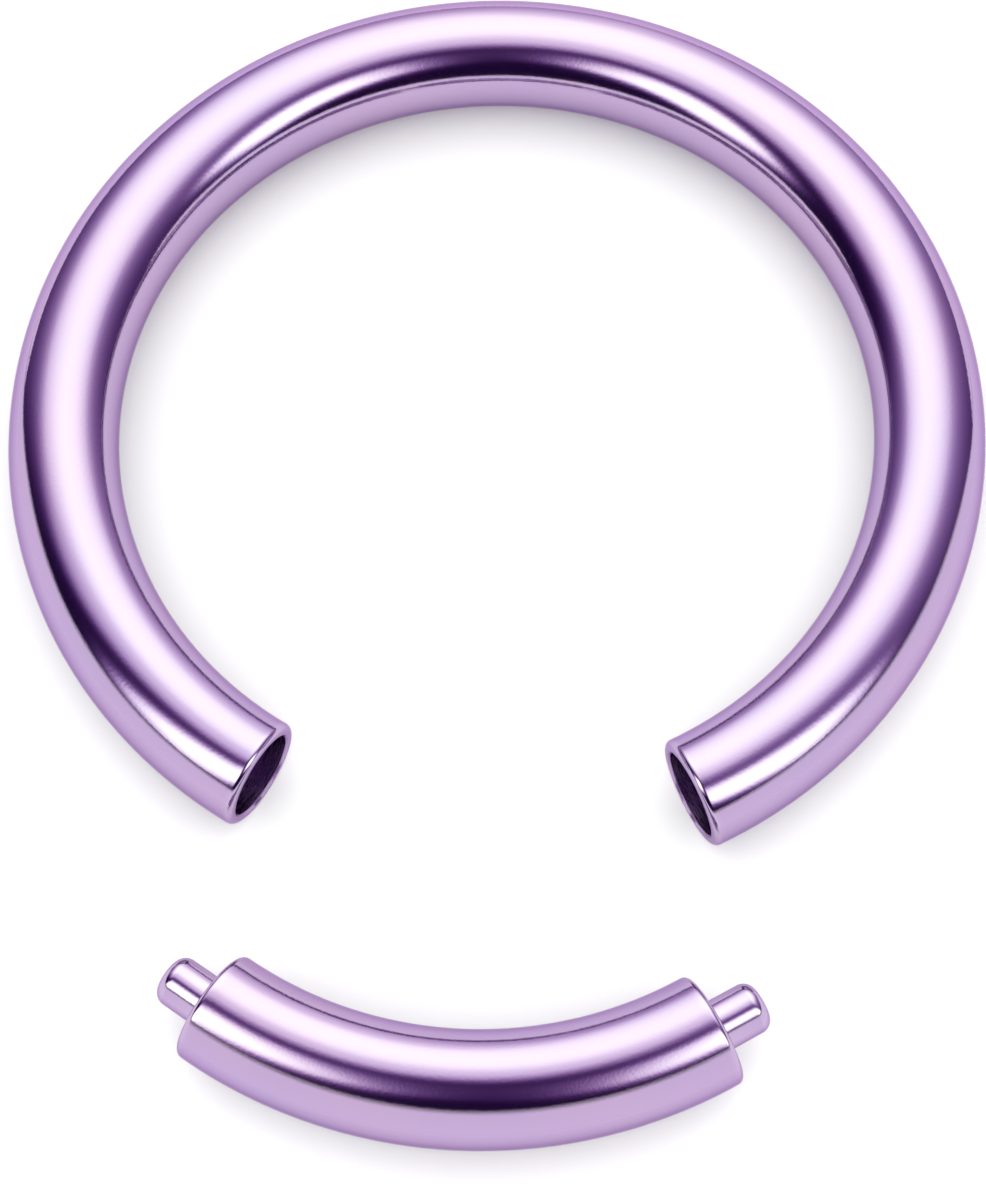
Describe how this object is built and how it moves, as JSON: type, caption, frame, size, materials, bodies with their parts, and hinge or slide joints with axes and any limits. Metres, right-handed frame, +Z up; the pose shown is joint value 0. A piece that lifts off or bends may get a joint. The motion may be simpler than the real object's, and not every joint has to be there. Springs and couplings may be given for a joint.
{
  "type": "segment ring for a piercing",
  "caption": "Open hoop of round wire with a socket in each end, and the loose curved segment whose pins fit the sockets and close the ring.",
  "frame": {"origin": "the hoop's axis, on the surface that the ring lies on", "axes": "+Z up along the hoop's axis; -Y from the hoop's centre through the middle of its gap to the loose segment; +X to the right with the gap towards the viewer"},
  "size_m": [0.0142, 0.0177, 0.0016],
  "materials": {
    "lilac_titanium": "mirror polished and anodised lilac"
  },
  "bodies": {
    "hoop": {"ring_body": "lilac_titanium"},
    "closing_segment": {"segment": "lilac_titanium"}
  },
  "joints": [
    {"name": "segment_slide", "type": "slide", "parent": "hoop", "child": "closing_segment", "axis": [0, 1, 0], "range_m": [0, 0.002]}
  ]
}
